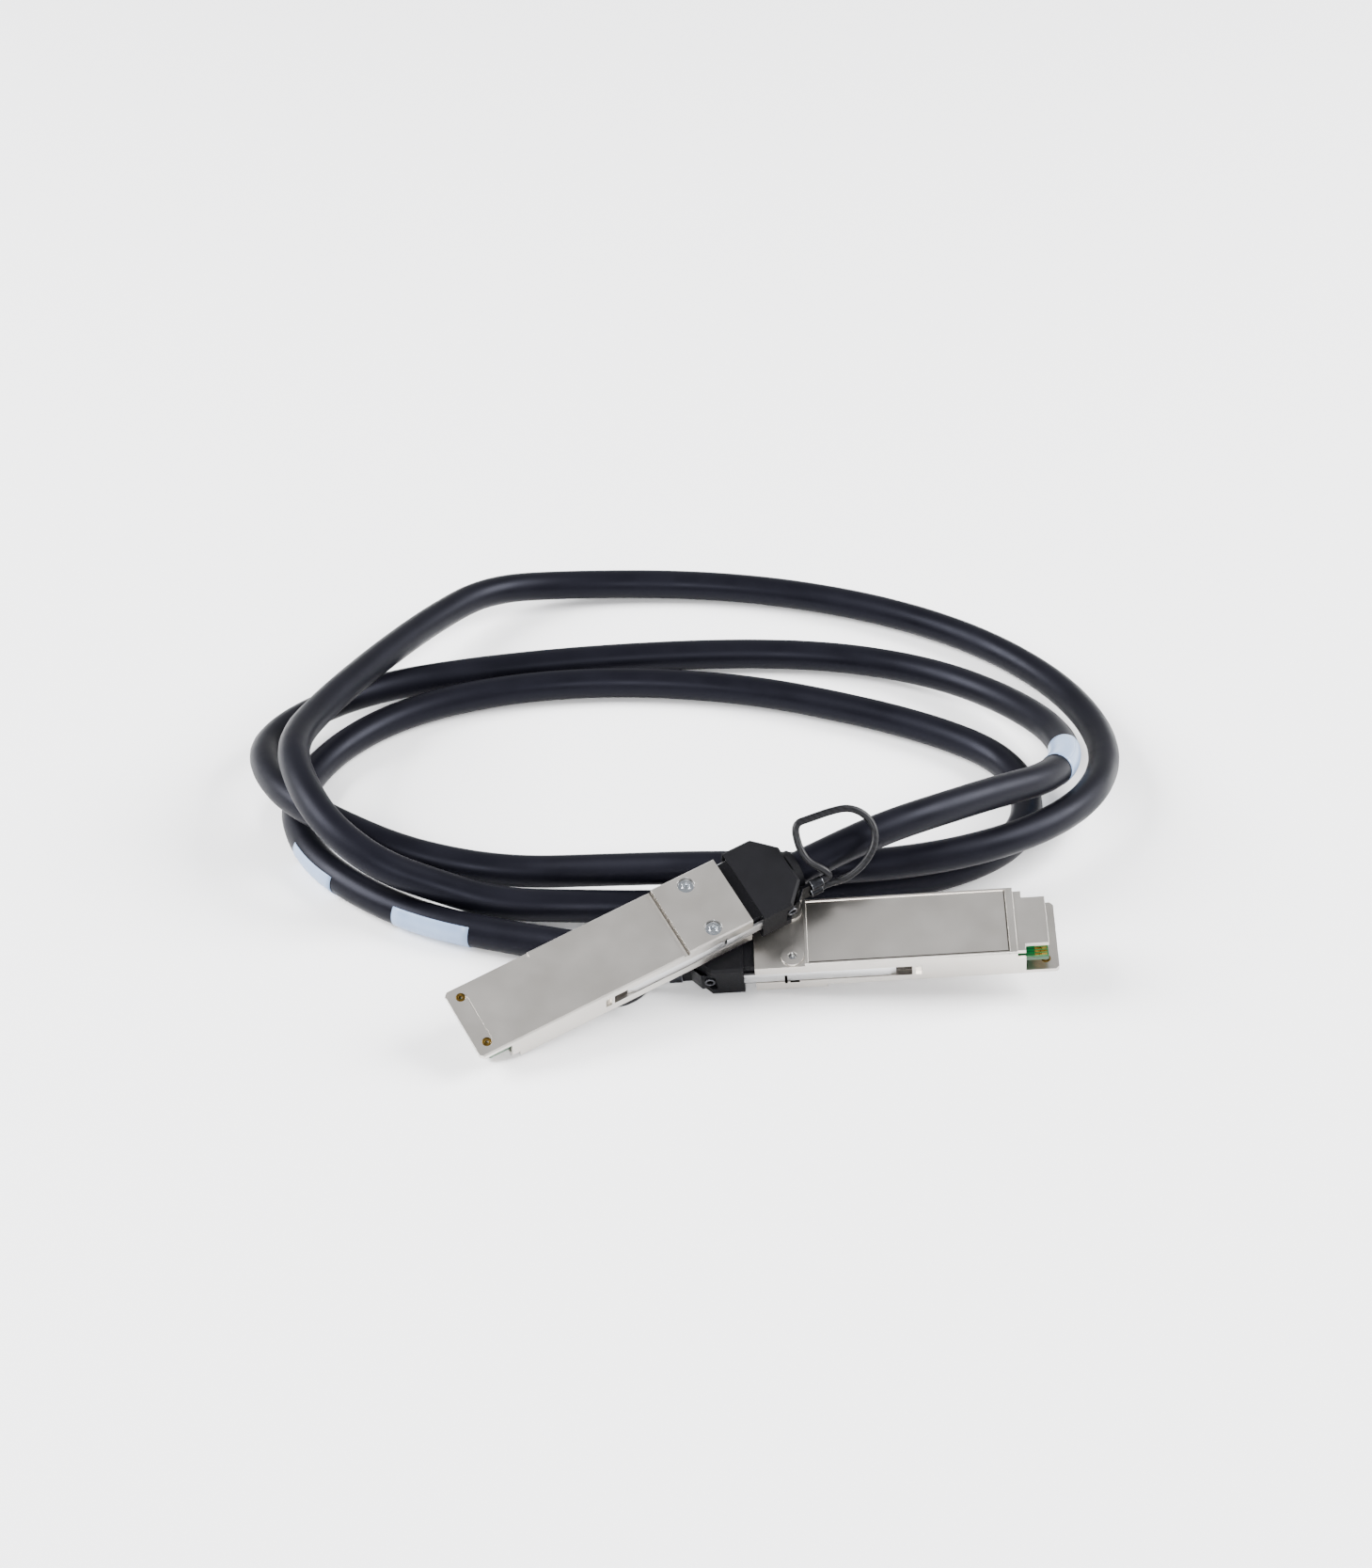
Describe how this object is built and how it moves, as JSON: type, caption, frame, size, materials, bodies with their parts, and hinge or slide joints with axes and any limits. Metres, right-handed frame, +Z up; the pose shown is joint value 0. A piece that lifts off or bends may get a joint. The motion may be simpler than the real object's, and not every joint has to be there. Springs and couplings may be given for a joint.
{
  "type": "external storage cable",
  "caption": "Coiled round copper cable with a pull-release metal plug at each end, for joining storage equipment to a controller.",
  "frame": {"origin": "on the table under the middle of the box around the two plugs", "axes": "+X along the longest side of that box, to the right of the picture; +Z up from the table; the coil lies towards +Y"},
  "size_m": [0.2191, 0.2186, 0.0358],
  "materials": {
    "plated_zinc": "satin nickel plate on die-cast zinc",
    "sheet_steel": "bright",
    "circuit_board": "green solder mask",
    "gilt": "gilt",
    "wire_insulation": "plain",
    "black_moulding": "fine matte",
    "crimp_aluminium": "plain",
    "lanyard_coat": "satin",
    "cable_pvc": "satin",
    "label_film": "white film with a clear wrap"
  },
  "bodies": {
    "cable_assembly": {"plug_a_base_shell": "plated_zinc", "plug_a_lid_shell": "plated_zinc", "plug_a_paddle_card": "circuit_board", "plug_a_contact_fingers": "gilt", "plug_a_twinax_pairs": "wire_insulation", "plug_a_crimp_ferrule": "gilt", "plug_a_backshell": "black_moulding", "plug_a_return_spring": "sheet_steel", "plug_a_shell_screws": "sheet_steel", "plug_a_nose_eyelets": "gilt", "plug_b_base_shell": "plated_zinc", "plug_b_lid_shell": "plated_zinc", "plug_b_paddle_card": "circuit_board", "plug_b_contact_fingers": "gilt", "plug_b_twinax_pairs": "wire_insulation", "plug_b_crimp_ferrule": "gilt", "plug_b_backshell": "black_moulding", "plug_b_return_spring": "sheet_steel", "plug_b_shell_screws": "sheet_steel", "plug_b_nose_eyelets": "gilt", "cable_jacket": "cable_pvc", "label_one": "label_film", "label_two": "label_film", "label_three": "label_film"},
    "slide_a": {"plug_a_latch_slide": "sheet_steel", "plug_a_ear_rivets": "sheet_steel", "plug_a_lanyard_crimps": "crimp_aluminium", "plug_a_lanyard": "lanyard_coat"},
    "slide_b": {"plug_b_latch_slide": "sheet_steel", "plug_b_ear_rivets": "sheet_steel", "plug_b_lanyard_crimps": "crimp_aluminium", "plug_b_lanyard": "lanyard_coat"}
  },
  "joints": [
    {"name": "pull_a", "type": "slide", "parent": "cable_assembly", "child": "slide_a", "axis": [0.8691, 0.4505, 0.2045], "range_m": [0, 0.0025], "stiffness_N_per_m": 600, "springref_m": -0.002, "deforming": ["plug_a_return_spring"]},
    {"name": "pull_b", "type": "slide", "parent": "cable_assembly", "child": "slide_b", "axis": [-0.9965, 0.0139, -0.0819], "range_m": [0, 0.0025], "stiffness_N_per_m": 600, "springref_m": -0.002, "deforming": ["plug_b_return_spring"]}
  ]
}
